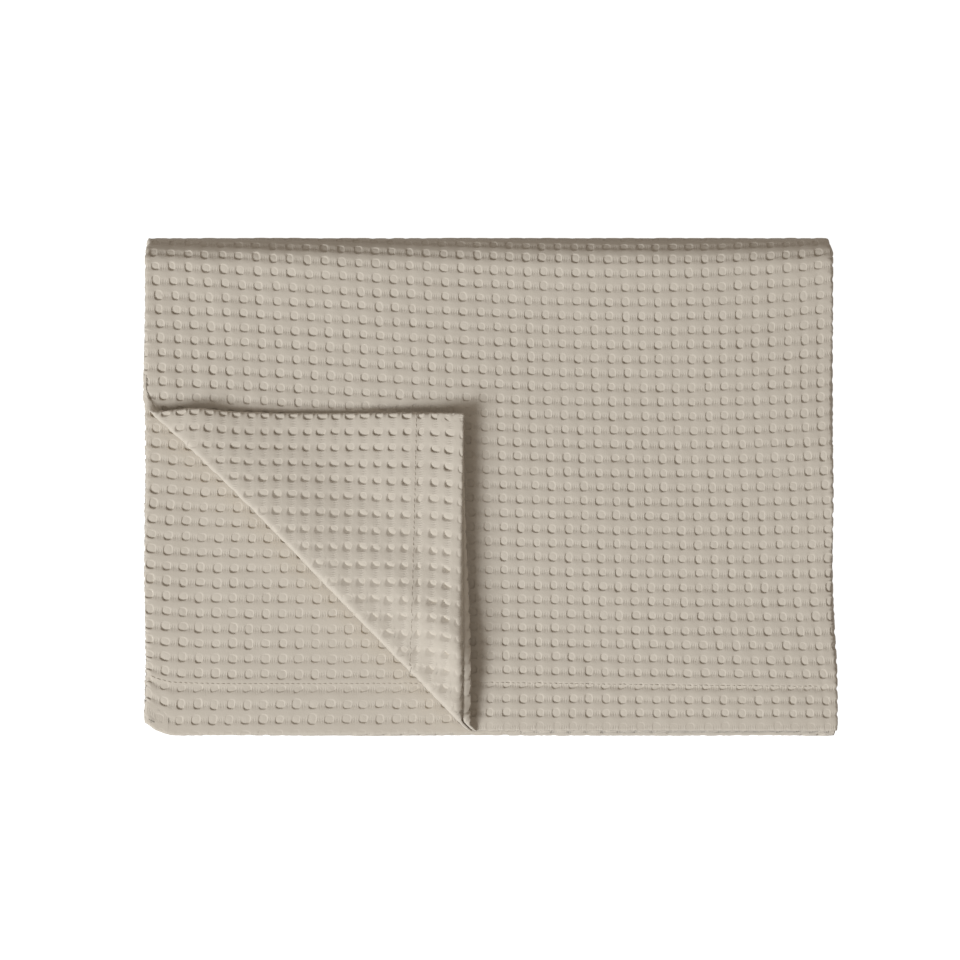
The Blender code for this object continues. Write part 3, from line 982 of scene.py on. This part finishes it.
pieces = [
    weave("top_front", "first", topColumns, (-1, splitRow), material, *fine, besideCrease, topDepth,
          sewn=1.0),
    weave("top_back", "first", topColumns, (splitRow, rollRow), material, *fine, besideCrease, topDepth),
    weave("right_edge", "first", (0, rightColumn), (-1, rollRow), material, *finest, everywhere, topDepth,
          sewn=1.0),
    weave("roll", "first", wholeFirst, (rollRow, rollEnd), material, *fine, everywhere, topDepth),
    weave("underside", "first", wholeFirst, (rollEnd, baseEnd), material),
    weave("front_fold", "first", wholeFirst, (baseEnd, frontEnd), material, *coarse),
    weave("turned_corner", "second", cornerColumns, cornerRows, material, *fine, pastBend, cornerDepth,
          sewn=1.0),
    weave("crease_edge", "second", cornerColumns, cornerRows, material, *finest, onBend, cornerDepth,
          sewn=1.0),
    weave("corner_hem", "first", (leftColumn, cornerHemEnd), (-1, 2), material, *fine, hemOfCorner,
          pressedFlat),
    weave("bared_layer", "third", baredColumns, baredRows, material, *fine, underCorner, sewn=1.0),
    weave("left_folds", "first", (leftColumn, leftColumn + 3), foldRows, material),
    weave("right_folds", "first", (-1, rightColumn), foldRows, material),
    weave("third_side", "third", (-5, -2), (baredRows[1], freeSideEnd), material),
    weave("fourth_side", "fourth", (-1, 2), (1, freeSideEnd), material),
    weave("second_hem", "second", (besideCorner, wholeSecond[1]), hemRows, material),
    weave("third_hem", "third", (besideCorner, wholeThird[1]), hemRows, material),
    weave("fourth_hem", "fourth", wholeFourth, hemRows, material),
    weave("far_hem_first", "first", wholeFirst, hemRows, material, farHem=True),
    weave("far_hem_second", "second", wholeSecond, hemRows, material, farHem=True),
    weave("far_hem_third", "third", wholeThird, hemRows, material, farHem=True),
    weave("far_hem_fourth", "fourth", wholeFourth, hemRows, material, farHem=True),
    stitches("hem_stitches", "first", seams["first"], besideCrease, material),
    stitches("corner_stitches", "second", seams["second"], pastCrease, material),
    stitches("bared_stitches", "third", seams["third"], underCorner, material),
]
print("weave made,", sum(len(piece.data.polygons) * 2 for piece in pieces), "triangles")

# Board painted matt and lit evenly, so that it shows as one white ground with no horizon
board = {
    "size": 60.0,
    "grey": 0.30,
    "roughness": 0.9,
    "glow": 0.97,
}
floorMaterial = bpy.data.materials.new("painted board")
floorMaterial.use_nodes = True
floorShader = floorMaterial.node_tree.nodes["Principled BSDF"]
floorShader.inputs["Base Color"].default_value = (board["grey"], board["grey"], board["grey"], 1.0)
floorShader.inputs["Roughness"].default_value = board["roughness"]
floorShader.inputs["Emission Color"].default_value = (1.0, 1.0, 1.0, 1.0)
floorShader.inputs["Emission Strength"].default_value = board["glow"]
bpy.ops.mesh.primitive_plane_add(size=board["size"], location=(0.0, 0.0, 0.0))
floor = bpy.context.object
floor.name = "floor"
floor.data.materials.append(floorMaterial)
floor.visible_diffuse = False  # it throws no light back up at the folds
floor.visible_shadow = False

light = {
    "azimuth": 217,
    "elevation": 38,
    "distance": 7.2,
    "size": 3.15,
    "power": 567.0,
    "colour": "#f2f8ff",
    "around": 0.36,
    "aroundColour": "#fff5eb",
}
lampData = bpy.data.lights.new("key", "AREA")
lampData.size = light["size"]
lampData.energy = light["power"]
lampData.color = linear(light["colour"])[:3]
lamp = bpy.data.objects.new("key", lampData)
azimuth, elevation = math.radians(light["azimuth"]), math.radians(light["elevation"])
level = math.cos(elevation)
away = Vector((math.cos(azimuth) * level, math.sin(azimuth) * level, math.sin(elevation)))
lamp.location = away * light["distance"]
lamp.rotation_euler = away.to_track_quat("Z", "Y").to_euler()
lamp.visible_camera = False
bpy.context.scene.collection.objects.link(lamp)
world = bpy.data.worlds.new("studio")
world.use_nodes = True
world.node_tree.nodes["Background"].inputs["Color"].default_value = linear(light["aroundColour"])
world.node_tree.nodes["Background"].inputs["Strength"].default_value = light["around"]
bpy.context.scene.world = world
bpy.context.scene.view_settings.view_transform = "Standard"

# Straight above, from far off: the long lens shows no perspective. The field is the width it takes in.
view = {"x": -0.00698, "y": 0.00456, "field": 0.6259, "lens": 1000.0}
cameraData = bpy.data.cameras.new("camera")
cameraData.lens = view["lens"]
viewDistance = view["field"] * view["lens"] / cameraData.sensor_width
cameraData.clip_end = 2 * viewDistance
camera = bpy.data.objects.new("camera", cameraData)
camera.location = (view["x"], view["y"], runHeights[3] + viewDistance)
bpy.context.scene.collection.objects.link(camera)
bpy.context.scene.camera = camera
print("stage made")
